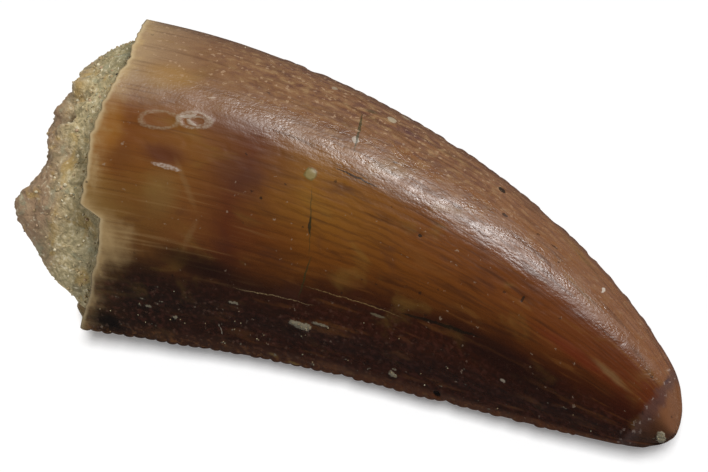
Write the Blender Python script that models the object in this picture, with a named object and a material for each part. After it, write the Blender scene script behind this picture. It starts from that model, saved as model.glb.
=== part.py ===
"""Fossil theropod tooth lying on its flatter side, its broken base plugged with sandstone.

Metres, +Z up. The origin is the middle of the small flat spot that the tooth rests on.
+X runs from the base towards the tip, and +Y towards the mesial edge, the convex one.
The distal edge, towards -Y, carries the coarse denticles.
"""

import math

import bmesh
import bpy
from mathutils import Vector, noise

MM = 0.001

# The crown seen from above: its axis is an arc, and both edges lie the same distance from it
CROWN_LENGTH = 21.35 * MM
AXIS_RADIUS = 38.0 * MM
BASE_HEADING = math.radians(13.8)
HALF_DEPTH = 5.46 * MM
DEPTH_REACH = 27.9 * MM
DEPTH_POWER = 1.62

# The blunt, worn end of the crown
TIP_LENGTH = 11.8 * MM
TIP_BLUNTNESS = 3.1
WEAR_NORMAL = Vector((0.80, 0.20, 0.56)).normalized()
WEAR_DEPTH = 0.34 * MM
WEAR_FLATNESS = 0.85

# The crown seen along its axis: two unequal bulges either side of the plane of its edges
UPPER_BULGE = 3.05 * MM
LOWER_BULGE = 2.30 * MM
BULGE_REACH = 27.0 * MM
BULGE_POWER = 2.2
UPPER_CREST = 0.16
LOWER_CREST = 0.10
EDGE_TILT = math.radians(7.0)
KEEL_HOLLOW = 0.13 * MM

# How the tooth lies: the underside bows up either side of the flat spot
REST_STATION = 7.5 * MM
REST_DEPTH = 0.16 * MM
UNDERSIDE_BOW = 6.0

# Denticles on the two edges, one to each station of the loft
DENTICLE_PITCH = 0.40 * MM
DISTAL_DENTICLE = 0.12 * MM
DISTAL_RUN = (0.4 * MM, 18.6 * MM)
MESIAL_DENTICLE = 0.06 * MM
MESIAL_RUN = (4.4 * MM, 18.6 * MM)
LOST_DENTICLES = (11, 34, 35)
DENTICLE_CUTS = 3

# The broken base: the enamel and dentine wall, and the pulp cavity inside it
WALL_AT_EDGES = 0.60 * MM
WALL_AT_FACES = 0.60 * MM
RIM_LIP = 0.30 * MM
RIM_FADE = 4.8 * MM
# place across the upper face, and how far the break lies from the base plane there
RIM_BREAK = (
    (-1.00, -0.38 * MM),
    (-0.72, 0.06 * MM),
    (-0.42, 0.20 * MM),
    (-0.36, -0.60 * MM),
    (-0.26, -0.71 * MM),
    (-0.14, -0.55 * MM),
    (0.06, -0.62 * MM),
    (0.30, -0.37 * MM),
    (0.60, 0.11 * MM),
    (1.00, 0.07 * MM),
)
UNDER_BREAK = -0.30 * MM
UNDER_JAG = 0.75 * MM
CAVITY_DEPTH = 3.2 * MM
CAVITY_STEPS = (0.0, 0.35, 0.7, 0.9)

# The sandstone that fills the cavity and stands out of it
FIT_GAP = 0.28 * MM
PLUG_DEPTH = 2.7 * MM
PLUG_STEPS = (0.35, 0.7, 0.9)
PLUG_RINGS = (0.985, 0.95, 0.90, 0.83, 0.74, 0.63, 0.51, 0.38, 0.25, 0.12)
PLUG_RISE = 2.30 * MM
PLUG_SPREAD = 5.5 * MM
PLUG_POWER = 2.2
PLUG_FULLNESS = 9
# place across, place up, height and radius of each lump
PLUG_LUMPS = (
    (-1.95 * MM, -0.20 * MM, 1.12 * MM, 1.25 * MM),
    (1.20 * MM, -0.40 * MM, 0.35 * MM, 0.85 * MM),
    (3.35 * MM, 0.10 * MM, 0.42 * MM, 0.60 * MM),
    (-4.10 * MM, -0.10 * MM, 0.45 * MM, 0.80 * MM),
    (-0.60 * MM, 1.20 * MM, -0.30 * MM, 0.80 * MM),
)
PLUG_ROUGHNESS = 0.20 * MM
PLUG_GRAIN = 1.1 * MM

# Columns of the loft across each face, closer together towards the edges
FACE_COLUMNS = 22
EDGE_CROWDING = 0.5
TIP_STEPS = (1.50, 1.20, 0.95, 0.72, 0.52, 0.35, 0.21, 0.11, 0.04)


def clear_scene():
    for item in list(bpy.data.objects):
        bpy.data.objects.remove(item)


def ease(value, start, end):
    """0 before start, 1 past end, and a smooth step between them."""
    share = min(1.0, max(0.0, (value - start) / (end - start)))
    return share * share * (3 - 2 * share)


def taper(station, reach, power):
    return 1 - (max(0.0, station) / reach) ** power


def tip_round(station):
    """1 along the crown, falling to 0 at the tip as the side of a rounded end does."""
    share = max(0.0, (station - (CROWN_LENGTH - TIP_LENGTH)) / TIP_LENGTH)
    return max(0.0, 1 - share**TIP_BLUNTNESS) ** (1 / TIP_BLUNTNESS)


def arc_place(station):
    """Where the axis is at this distance from the base, before it is set on the origin."""
    heading = BASE_HEADING - station / AXIS_RADIUS
    x = AXIS_RADIUS * (math.sin(BASE_HEADING) - math.sin(heading))
    y = AXIS_RADIUS * (math.cos(heading) - math.cos(BASE_HEADING))
    return Vector((x, y, 0)), heading


def axis(station):
    """The axis point over the floor, and the directions along the axis and across it."""
    place, heading = arc_place(station)
    along = Vector((math.cos(heading), math.sin(heading), 0))
    across = Vector((-math.sin(heading), math.cos(heading), 0))
    return place - arc_place(REST_STATION)[0], along, across


def edge_height(station):
    """Height of the plane of the two edges over the floor, at the axis."""
    bow = UNDERSIDE_BOW * (station - REST_STATION) ** 2
    lower = LOWER_BULGE * taper(station, BULGE_REACH, BULGE_POWER)
    return bow - REST_DEPTH + lower


def lens(place, crest, sharpness, fullness):
    """Height from 0 to 1 of one bulge, at a place from -1 (distal) to 1 (mesial)."""
    reach = 1 - crest if place > crest else 1 + crest
    away = abs(place - crest) / reach
    return max(0.0, 1 - away**sharpness) ** fullness


def section(station, place, upper, edge_inset=0.0, face_inset=0.0):
    """(distance from the axis, height) of one point of the crown's cross-section."""
    round_off = tip_round(station)
    full_depth = HALF_DEPTH * taper(station, DEPTH_REACH, DEPTH_POWER)
    depth = (full_depth - edge_inset) * round_off
    bulge_taper = taper(station, BULGE_REACH, BULGE_POWER)
    if upper:
        bulge = (UPPER_BULGE * bulge_taper - face_inset) * round_off
        height = bulge * lens(place, UPPER_CREST, 2.35, 0.86)
        hollow = math.exp(-(((place + 0.86) / 0.09) ** 2))
        height -= KEEL_HOLLOW * hollow * bulge_taper * round_off * (face_inset == 0)
    else:
        bulge = (LOWER_BULGE * bulge_taper - face_inset) * round_off
        height = -bulge * lens(place, LOWER_CREST, 2.2, 0.80)
    across = depth * place
    return across, edge_height(station) + across * math.tan(EDGE_TILT) + height


def surface(station, place, upper, edge_inset=0.0, face_inset=0.0):
    """One point of the crown, or of a shell inside it, where it lies on the floor."""
    distance, height = section(station, place, upper, edge_inset, face_inset)
    point, _, across = axis(station)
    return point + across * distance + Vector((0, 0, height))


def loft_places():
    """The places of one ring, from the mesial edge over the top and back underneath."""
    found = []
    for step in range(FACE_COLUMNS):
        share = 1 - 2 * step / FACE_COLUMNS
        crowded = math.sin(share * math.pi / 2)
        found.append(share * (1 - EDGE_CROWDING) + crowded * EDGE_CROWDING)
    over_top = [(place, True) for place in found]
    underneath = [(-place, False) for place in found]
    return over_top + underneath


def between(value, knots):
    """The value of a broken line through the knots."""
    for (start, first), (end, last) in zip(knots, knots[1:]):
        if value <= end:
            return first + (last - first) * (value - start) / (end - start)
    return knots[-1][1]


def rim_shift(place, upper):
    """How far the broken rim stands from the base plane, negative where it stands out."""
    at_edge = 1 - ease(abs(place), 0.80, 1.0)
    jag = noise.noise(Vector((place * 6.0, 3.0 if upper else 8.0, 0.5)))
    if upper:
        return between(place, RIM_BREAK) + 0.12 * MM * jag * at_edge
    corners = (RIM_BREAK[0], RIM_BREAK[-1])
    return between(place, corners) + (UNDER_BREAK + UNDER_JAG * jag) * at_edge


def stations():
    count = int((CROWN_LENGTH - TIP_STEPS[0] * MM) / DENTICLE_PITCH)
    along = [step * DENTICLE_PITCH for step in range(count + 1)]
    return along + [CROWN_LENGTH - left * MM for left in TIP_STEPS]


def add_ring(mesh, points):
    return [mesh.verts.new(point) for point in points]


def join_rings(mesh, first, second):
    count = len(first)
    for here in range(count):
        after = (here + 1) % count
        mesh.faces.new((first[here], first[after], second[after], second[here]))


def join_serrated(mesh, first, second, distal_mids, mesial_mids):
    """Joins two rings of the crown, with denticles where their two edges run across."""
    count = len(first)
    for here in range(count):
        after = (here + 1) % count
        quad = (first[here], first[after], second[after], second[here])
        if distal_mids and after == FACE_COLUMNS:
            fan_to_edge(mesh, quad[0], quad[3], [quad[1], *distal_mids, quad[2]])
        elif distal_mids and here == FACE_COLUMNS:
            fan_to_edge(mesh, quad[2], quad[1], [quad[3], *distal_mids[::-1], quad[0]])
        elif mesial_mids and after == 0:
            fan_to_edge(mesh, quad[0], quad[3], [quad[1], *mesial_mids, quad[2]])
        elif mesial_mids and here == 0:
            fan_to_edge(mesh, quad[2], quad[1], [quad[3], *mesial_mids[::-1], quad[0]])
        else:
            mesh.faces.new(quad)


def fan_to_edge(mesh, near, far, chain):
    """Triangles from a chain along the edge back to the two verts beside it."""
    middle = len(chain) // 2
    for first, second in zip(chain[:middle], chain[1 : middle + 1]):
        mesh.faces.new((near, first, second))
    mesh.faces.new((near, chain[middle], far))
    for first, second in zip(chain[middle:], chain[middle + 1 :]):
        mesh.faces.new((far, first, second))


def close_ring(mesh, ring, point):
    """A fan from the ring to one point."""
    pole = mesh.verts.new(point)
    for here in range(len(ring)):
        mesh.faces.new((ring[here], ring[(here + 1) % len(ring)], pole))
    return pole


def wear_tip(verts):
    """Flattens what stands past the wear facet, almost down to its plane."""
    reach = max(vert.co.dot(WEAR_NORMAL) for vert in verts)
    for vert in verts:
        beyond = vert.co.dot(WEAR_NORMAL) - (reach - WEAR_DEPTH)
        if beyond > 0:
            vert.co -= WEAR_NORMAL * beyond * WEAR_FLATNESS


def flatten_rest(verts):
    """The flat spot underneath, on the floor's own plane."""
    for vert in verts:
        vert.co.z = max(0.0, vert.co.z)


def denticle(mesh, edge_verts, index, height, run, outward):
    """The verts of one rounded denticle, between two stations on an edge."""
    first, last = run
    station = index * DENTICLE_PITCH
    if not first <= station <= last or index in LOST_DENTICLES:
        return []
    start, end = edge_verts[index].co, edge_verts[index + 1].co
    wear = 0.8 + 0.3 * noise.noise(Vector((index * 1.7, outward, 2.0)))
    fade = 1 - 0.7 * ease(station, last - 3.0 * MM, last)
    _, _, across = axis(station + DENTICLE_PITCH / 2)
    found = []
    for cut in range(1, DENTICLE_CUTS + 1):
        share = cut / (DENTICLE_CUTS + 1)
        swell = math.sin(math.pi * share) ** 0.6
        out = across * outward * height * wear * fade * swell
        found.append(mesh.verts.new(start.lerp(end, share) + out))
    return found


def crown_mesh():
    mesh = bmesh.new()
    places = loft_places()
    rings = []
    for station in stations():
        fade = max(0.0, 1 - station / RIM_FADE)
        ring = [
            surface(station + rim_shift(*where) * fade, *where) for where in places
        ]
        rings.append(add_ring(mesh, ring))
    tip_point, _, _ = axis(CROWN_LENGTH)
    tip_height = Vector((0, 0, edge_height(CROWN_LENGTH)))
    tip = close_ring(mesh, rings[-1], tip_point + tip_height)
    outer = [vert for ring in rings for vert in ring] + [tip]
    wear_tip(outer)
    flatten_rest(outer)

    mesial = [ring[0] for ring in rings]
    distal = [ring[FACE_COLUMNS] for ring in rings]
    for index in range(len(rings) - 1):
        coarse = denticle(mesh, distal, index, DISTAL_DENTICLE, DISTAL_RUN, -1)
        fine = denticle(mesh, mesial, index, MESIAL_DENTICLE, MESIAL_RUN, 1)
        join_serrated(mesh, rings[index], rings[index + 1], coarse, fine)

    wall = WALL_AT_EDGES, WALL_AT_FACES
    inner = shell_ring(mesh, places, RIM_LIP, *wall, 0.0)
    join_rings(mesh, inner, rings[0])
    for step in CAVITY_STEPS[1:]:
        depth = RIM_LIP + (CAVITY_DEPTH - RIM_LIP) * math.sin(step * math.pi / 2)
        deeper = shell_ring(mesh, places, depth, *wall, step)
        join_rings(mesh, deeper, inner)
        inner = deeper
    close_ring(mesh, inner, shell_middle(CAVITY_DEPTH))
    return mesh


def shell_middle(depth):
    """The middle of the cavity at this depth, on the plane of the edges."""
    point, _, _ = axis(depth)
    return point + Vector((0, 0, edge_height(depth) + 0.2 * MM))


def shell_ring(mesh, places, depth, edge_inset, face_inset, narrowing):
    """A ring inside the crown, behind the rim, drawn in towards the cavity's end."""
    middle = shell_middle(depth)
    size = math.cos(narrowing * math.pi / 2) ** 0.6
    follow = 1 - narrowing
    points = []
    for place, upper in places:
        station = depth + rim_shift(place, upper) * follow
        wall = surface(station, place, upper, edge_inset, face_inset)
        points.append(middle + (wall - middle) * size)
    return add_ring(mesh, points)


def plug_height(across, rise):
    """How far the sandstone stands out of the base plane, at a place across and up it."""
    height = PLUG_RISE * (1 - (abs(across) / PLUG_SPREAD) ** PLUG_POWER)
    for centre, up, lump, radius in PLUG_LUMPS:
        away = ((across - centre) ** 2 + 0.4 * (rise - up) ** 2) / radius**2
        height += lump * math.exp(-away)
    above = max(0.0, rise) / UPPER_BULGE
    below = max(0.0, -rise) / LOWER_BULGE
    return height * (1 - 0.9 * above**1.3 - 0.45 * below**2)


def plug_mesh():
    mesh = bmesh.new()
    places = loft_places()
    edge_inset = WALL_AT_EDGES + FIT_GAP
    face_inset = WALL_AT_FACES + FIT_GAP
    edge = shell_ring(mesh, places, RIM_LIP, edge_inset, face_inset, 0.0)
    rings = [edge]
    for step in PLUG_STEPS:
        depth = RIM_LIP + (PLUG_DEPTH - RIM_LIP) * math.sin(step * math.pi / 2)
        rings.append(shell_ring(mesh, places, depth, edge_inset, face_inset, step))
        join_rings(mesh, rings[-1], rings[-2])
    close_ring(mesh, rings[-1], shell_middle(PLUG_DEPTH))

    middle = shell_middle(RIM_LIP)
    base, along, across = axis(0.0)

    def stand_out(corner, share):
        point = middle + (corner - middle) * share
        start = (point - base).dot(along)
        height = plug_height((point - base).dot(across), point.z - middle.z)
        swell = (1 - share**PLUG_FULLNESS) ** 0.5
        rough = noise.fractal(point / PLUG_GRAIN, 0.9, 2.1, 3) * PLUG_ROUGHNESS
        return point - along * (start + height + rough) * swell

    outer = edge
    for share in PLUG_RINGS:
        ring = add_ring(mesh, [stand_out(vert.co, share) for vert in edge])
        join_rings(mesh, outer, ring)
        outer = ring
    close_ring(mesh, outer, stand_out(middle, 0.0))
    return mesh


def material(name, colour, roughness):
    made = bpy.data.materials.new(name)
    made.use_nodes = True
    shader = made.node_tree.nodes["Principled BSDF"]
    shader.inputs["Base Color"].default_value = (*colour, 1.0)
    shader.inputs["Roughness"].default_value = roughness
    shader.inputs["Metallic"].default_value = 0.0
    made.diffuse_color = (*colour, 1.0)
    return made


def add_solid(name, mesh, finish, parent):
    bmesh.ops.recalc_face_normals(mesh, faces=mesh.faces)
    data = bpy.data.meshes.new(name)
    mesh.to_mesh(data)
    mesh.free()
    data.shade_smooth()
    data.set_sharp_from_angle(angle=math.radians(40))
    data.materials.append(finish)
    solid = bpy.data.objects.new(name, data)
    solid.parent = parent
    bpy.context.scene.collection.objects.link(solid)
    return solid


def main():
    clear_scene()
    specimen = bpy.data.objects.new("specimen", None)
    bpy.context.scene.collection.objects.link(specimen)
    enamel = material("fossil enamel", (0.20, 0.085, 0.035), 0.38)
    sandstone = material("sandstone", (0.30, 0.22, 0.13), 0.92)
    add_solid("tooth_crown", crown_mesh(), enamel, specimen)
    add_solid("sandstone_plug", plug_mesh(), sandstone, specimen)


main()
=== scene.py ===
import math

import bpy
import numpy as np
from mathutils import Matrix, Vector, noise


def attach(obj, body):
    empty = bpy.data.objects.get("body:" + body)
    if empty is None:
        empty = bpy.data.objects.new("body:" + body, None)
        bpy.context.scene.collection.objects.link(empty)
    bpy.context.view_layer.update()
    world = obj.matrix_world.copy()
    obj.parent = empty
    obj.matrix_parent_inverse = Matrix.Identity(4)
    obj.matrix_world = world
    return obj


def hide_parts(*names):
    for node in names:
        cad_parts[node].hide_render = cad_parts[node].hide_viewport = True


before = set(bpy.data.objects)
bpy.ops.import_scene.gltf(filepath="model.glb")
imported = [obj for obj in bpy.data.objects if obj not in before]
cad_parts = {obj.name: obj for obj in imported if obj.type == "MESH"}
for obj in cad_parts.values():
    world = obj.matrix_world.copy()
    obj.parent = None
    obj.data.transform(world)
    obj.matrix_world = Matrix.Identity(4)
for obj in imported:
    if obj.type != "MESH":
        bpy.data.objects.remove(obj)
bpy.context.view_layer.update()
mm = 0.001
print("frame loaded")


def linear(hexColour):
    # sRGB hex to the linear colour that shaders take
    found = []
    for start in (1, 3, 5):
        channel = int(hexColour[start : start + 2], 16) / 255
        low, high = channel / 12.92, ((channel + 0.055) / 1.055) ** 2.4
        found.append(low if channel <= 0.04045 else high)
    return (*found, 1.0)


# kinds of node and settings that come up often
maths, vectorMaths = "ShaderNodeMath", "ShaderNodeVectorMath"
mapRange, mixer = "ShaderNodeMapRange", "ShaderNodeMix"
randomValue, readValue = "FunctionNodeRandomValue", "GeometryNodeInputNamedAttribute"
minus, times = {"operation": "SUBTRACT"}, {"operation": "MULTIPLY"}
timesPlus = {"operation": "MULTIPLY_ADD"}


def addNode(tree, kind, wanted):
    # kind: a type of node, or the name of one that the tree has from the start
    # wanted: its options and inputs; a node or a socket is linked, the rest is set
    made = tree.nodes.get(kind) or tree.nodes.new(kind)
    for name, value in wanted.items():
        if name == "stops":
            ramp = made.color_ramp
            while len(ramp.elements) < len(value):
                ramp.elements.new(0.5)
            for element, (place, colour) in zip(ramp.elements, value):
                element.position, element.color = place, linear(colour)
            continue
        if isinstance(value, str) and value.startswith("#"):
            value = linear(value)
        if isinstance(value, bpy.types.Node):
            value = next(socket for socket in value.outputs if socket.enabled)
        if isinstance(name, str) and hasattr(made, name):
            setattr(made, name, value)
            continue
        if isinstance(name, str):
            socket = next(s for s in made.inputs if s.name == name and s.enabled)
        else:
            socket = made.inputs[name]
        if isinstance(value, bpy.types.NodeSocket):
            tree.links.new(value, socket)
        else:
            socket.default_value = value
    return made


def smoothStep(value, start, end):
    share = np.clip((value - start) / (end - start), 0, 1)
    return share * share * (3 - 2 * share)


def noiseAt(points, size, octaves=1, seed=0):
    # smooth noise from about -1 to 1, with features of this size in mm
    away = Vector((seed * 17.3, seed * 5.1, seed * 9.7))
    flat = points.reshape(-1, 3) / size
    found = [noise.fractal(Vector(p) + away, 1.0, 2.0, octaves) for p in flat]
    return np.array(found).reshape(points.shape[:-1])


def newObject(name, data):
    made = bpy.data.objects.new(name, data)
    bpy.context.scene.collection.objects.link(made)
    return made


def makeMesh(name, points, faces, attributes):
    # points in mm; each attribute has one number or vector for each point
    data = bpy.data.meshes.new(name)
    data.from_pydata((points * mm).tolist(), [], faces)
    for label, values in attributes.items():
        kind = "FLOAT_VECTOR" if values.ndim == 2 else "FLOAT"
        layer = data.attributes.new(label, kind, "POINT")
        field = "vector" if values.ndim == 2 else "value"
        layer.data.foreach_set(field, values.astype(np.float32).ravel())
    data.shade_smooth()
    return newObject(name, data)


def applyTree(piece, tree, values):
    # run a Geometry Nodes tree on the piece and keep its result as a plain mesh
    modifier = piece.modifiers.new(tree.name, "NODES")
    modifier.node_group = tree
    for item in tree.interface.items_tree:
        if item.in_out == "INPUT" and item.name in values:
            modifier[item.identifier] = values[item.name]
    depsgraph = bpy.context.evaluated_depsgraph_get()
    finished = bpy.data.meshes.new_from_object(piece.evaluated_get(depsgraph))
    piece.modifiers.clear()
    piece.data = finished
    return piece


def newTree(name, values):
    # a Geometry Nodes tree: the piece, one named input for each value, and the material
    tree = bpy.data.node_groups.new(name, "GeometryNodeTree")
    kinds = {"Geometry": "Geometry", "Material": "Material"}
    kinds |= {"Seed": "Int", "Keep Surface": "Bool"}
    for label in ("Geometry", *values, "Material"):
        kind = "NodeSocket" + kinds.get(label, "Float")
        tree.interface.new_socket(label, in_out="INPUT", socket_type=kind)
    kind = "NodeSocketGeometry"
    tree.interface.new_socket("Geometry", in_out="OUTPUT", socket_type=kind)
    return tree, addNode(tree, "NodeGroupInput", {}).outputs


def closeTree(tree, geometry, material):
    whole = addNode(tree, "GeometryNodeRealizeInstances", {"Geometry": geometry})
    wanted = {"Geometry": whole, "Material": material}
    finished = addNode(tree, "GeometryNodeSetMaterial", wanted)
    addNode(tree, "NodeGroupOutput", {"Geometry": finished})
    return tree


def lookUp(known, values):
    return [known.get(value, value) for value in values]


def addSteps(tree, known, steps):
    # a node for each row: its name, what it does and its inputs, where a name stands
    # for what is known by then. A fade goes over its source from start to end, from
    # one value to another. The rest are Math nodes.
    for name, operation, *inputs in steps:
        inputs = lookUp(known, inputs)
        if operation in ("fade", "smoothFade"):
            labels = ("Value", "From Min", "From Max", "To Min", "To Max")
            wanted = dict(zip(labels, inputs))
            if operation == "smoothFade":
                wanted["interpolation_type"] = "SMOOTHSTEP"
            known[name] = addNode(tree, mapRange, wanted)
        else:
            wanted = {"operation": operation, **dict(enumerate(inputs))}
            known[name] = addNode(tree, maths, wanted)


def newMaterial(name):
    material = bpy.data.materials.new(name)
    material.use_nodes = True
    return material, material.node_tree


# The crown. Its form repeats the CAD solid's: an arc for its axis, a section of two
# unequal bulges that meet in the two toothed edges, and a blunt, worn tip.

crown = {
    "length": 21.35,
    "axisRadius": 38.0,
    "baseHeading": math.radians(13.8),
    "halfDepth": 5.46,
    "depthReach": 27.9,
    "depthPower": 1.62,
    "tipLength": 11.8,
    "tipBluntness": 3.1,
    "upperBulge": 3.05,
    "lowerBulge": 2.30,
    "bulgeReach": 27.0,
    "bulgePower": 2.2,
    "upperLens": (0.16, 2.35, 0.86),  # place of the crest, sharpness, fullness
    "lowerLens": (0.10, 2.2, 0.80),
    "edgeTilt": math.radians(7.0),
    "keelHollow": (-0.86, 0.09, 0.13),  # its place, width and depth in mm
    "restStation": 7.5,
    "restDepth": 0.16,
    "undersideBow": 0.006,
    "wearNormal": (0.80, 0.20, 0.56),
    "wearDepth": 0.34,
    "wearFlatness": 0.85,
    "wearSoftness": 0.10,
    "wallAtEdges": 0.60,
    "wallAtFaces": 0.60,
    "rimLip": 0.30,
    "rimFade": 4.8,
    "cavityDepth": 3.2,
    "underBreak": -0.30,
    "underJag": 0.75,
    "rimJag": 0.12,
    "rimChip": 0.07,
    "rimRoughness": 0.11,
    "upperColumns": 150,  # steps of the mesh round the upper face
    "lowerColumns": 88,
    "stationStep": 0.0571,  # seven steps to one denticle
}

# the broken edge on the upper face: place across, mm from the base plane
rimBreak = (
    *((-1.00, -0.38), (-0.72, 0.06), (-0.42, 0.20), (-0.36, -0.60), (-0.26, -0.71)),
    *((-0.14, -0.55), (0.06, -0.62), (0.30, -0.37), (0.60, 0.11), (1.00, 0.07)),
)


def taper(station, reach, power):
    return 1 - (np.maximum(0, station) / reach) ** power


def tipRound(station):
    start = crown["length"] - crown["tipLength"]
    share = np.maximum(0, (station - start) / crown["tipLength"])
    left = np.maximum(0, 1 - share ** crown["tipBluntness"])
    return left ** (1 / crown["tipBluntness"])


def arcPlace(station):
    heading = crown["baseHeading"] - station / crown["axisRadius"]
    x = crown["axisRadius"] * (math.sin(crown["baseHeading"]) - np.sin(heading))
    y = crown["axisRadius"] * (np.cos(heading) - math.cos(crown["baseHeading"]))
    return x, y, heading


restX, restY, _ = arcPlace(crown["restStation"])


def edgeHeight(station):
    # height over the floor of the plane of the two edges, at the axis
    bow = crown["undersideBow"] * (station - crown["restStation"]) ** 2
    lower = taper(station, crown["bulgeReach"], crown["bulgePower"])
    return bow - crown["restDepth"] + crown["lowerBulge"] * lower


def lens(place, crest, sharpness, fullness):
    reach = np.where(place > crest, 1 - crest, 1 + crest)
    away = np.abs(place - crest) / reach
    return np.maximum(0, 1 - away**sharpness) ** fullness


def crownPoint(station, place, upper, edgeInset=0.0, faceInset=0.0):
    roundOff = tipRound(station)
    narrowing = taper(station, crown["depthReach"], crown["depthPower"])
    across = (crown["halfDepth"] * narrowing - edgeInset) * roundOff * place
    bulge = taper(station, crown["bulgeReach"], crown["bulgePower"])
    above = (crown["upperBulge"] * bulge - faceInset) * roundOff
    above = above * lens(place, *crown["upperLens"])
    at, width, sunk = crown["keelHollow"]
    hollow = np.exp(-(((place - at) / width) ** 2)) * bulge * roundOff
    above = above - sunk * hollow * (faceInset == 0)
    below = (crown["lowerBulge"] * bulge - faceInset) * roundOff
    below = -below * lens(place, *crown["lowerLens"])
    height = edgeHeight(station) + across * math.tan(crown["edgeTilt"])
    height = height + np.where(upper, above, below)
    x, y, heading = arcPlace(station)
    x = x - restX - np.sin(heading) * across
    y = y - restY + np.cos(heading) * across
    return np.stack([x, y, height], axis=-1)


def rimShift(place, upper):
    # how far the break lies from the base plane, negative where the rim stands out
    atEdge = 1 - smoothStep(np.abs(place), 0.80, 1.0)
    found = []
    for p, isUpper, share in zip(place, upper, atEdge):
        seed = 3.0 if isUpper else 8.0
        jag = noise.noise(Vector((p * 6.0, seed, 0.5)))
        chip = noise.noise(Vector((p * 26.0, seed, 4.5)))
        if isUpper:
            shift = np.interp(p, *zip(*rimBreak)) + crown["rimJag"] * jag * share
        else:
            shift = np.interp(p, (-1, 1), (rimBreak[0][1], rimBreak[-1][1]))
            shift = shift + (crown["underBreak"] + crown["underJag"] * jag) * share
        found.append(shift + crown["rimChip"] * chip * share)
    return np.array(found)


def ringPlaces(upperCount, lowerCount):
    # from the mesial edge over the top to the distal edge, and back underneath
    found, sides = [], []
    for count, upper in ((upperCount, True), (lowerCount, False)):
        share = 1 - 2 * np.arange(count) / count
        places = (share + np.sin(share * math.pi / 2)) / 2
        found.append(places if upper else -places)
        sides.append(np.full(count, upper))
    return np.concatenate(found), np.concatenate(sides)


def shellMiddle(depth):
    x, y, _ = arcPlace(depth)
    return np.array([x - restX, y - restY, edgeHeight(depth) + 0.2])


def shellRing(place, upper, shift, depth, edgeInset, faceInset, narrowing):
    # a ring inside the crown, drawn in towards the end of the cavity
    size = math.cos(narrowing * math.pi / 2) ** 0.6
    station = depth + shift * (1 - narrowing)
    wall = crownPoint(station, place, upper, edgeInset, faceInset)
    middle = shellMiddle(depth)
    return middle + (wall - middle) * size


def ringFaces(rings, columns):
    row = np.arange(columns)
    after = (row + 1) % columns
    found = []
    for ring in range(rings - 1):
        first, second = ring * columns, (ring + 1) * columns
        quads = np.stack([first + row, first + after, second + after, second + row], 1)
        found.extend(quads.tolist())
    last = (rings - 1) * columns
    for column in range(columns):  # the two poles follow the rings
        following = int(after[column])
        found.append((last + column, last + following, rings * columns))
        found.append((following, column, rings * columns + 1))
    return found


# What the tooth has met: station mm, place, half length and half width mm, turn, tint
# and strength. Place runs from -1 at the distal edge to 1 at the mesial.

# stain clouds under the skin
clouds = (
    (1.5, 0.52, 1.3, 0.8, 0, "#a27a42", 0.6),
    (2.0, -0.20, 0.9, 1.1, 0, "#86683a", 0.45),
    (0.5, -0.05, 0.7, 0.7, 0, "#6c421c", 0.5),
    (0.0, 0.12, 0.50, 1.30, 0, "#96601f", 0.6),
    (3.6, -0.56, 2.0, 0.60, 0, "#1e0c08", 0.60),
    (5.0, -0.60, 3.2, 0.60, 0, "#140a08", 0.32),
    (15.4, -0.54, 4.2, 0.85, 0, "#200c06", 0.66),
    (0.7, -0.95, 1.1, 0.60, 0, "#0e0a08", 0.85),
    (4.4, 0.02, 1.3, 0.9, 0, "#54301f", 0.5),
    (3.4, 0.28, 1.6, 0.5, 5, "#6a4230", 0.4),
    (1.9, 0.02, 1.1, 0.55, 0, "#54281a", 0.7),
    (17.0, -0.12, 2.2, 0.30, 0, "#6a2410", 0.5),
    (18.4, -0.073, 1.10, 0.17, -2, "#80603c", 0.65),
    (19.4, -0.36, 0.9, 0.7, 0, "#3e1408", 0.5),
    (9.05, 0.807, 0.65, 0.25, 0, "#4a2c34", 0.65),
    (7.63, 0.828, 0.30, 0.16, 20, "#46402a", 0.6),
    (11.35, 0.431, 0.30, 0.10, 0, "#54423c", 0.6),
    (7.25, -0.971, 0.30, 0.12, 0, "#8a6a34", 0.8),
    (8.09, -0.990, 0.35, 0.12, 0, "#8e7038", 0.8),
    # the diagonal pale band near the base
    (2.77, -0.12, 1.20, 0.17, -55, "#8a6840", 0.40),
    (3.31, -0.40, 0.90, 0.17, 77, "#86643e", 0.35),
)

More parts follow.
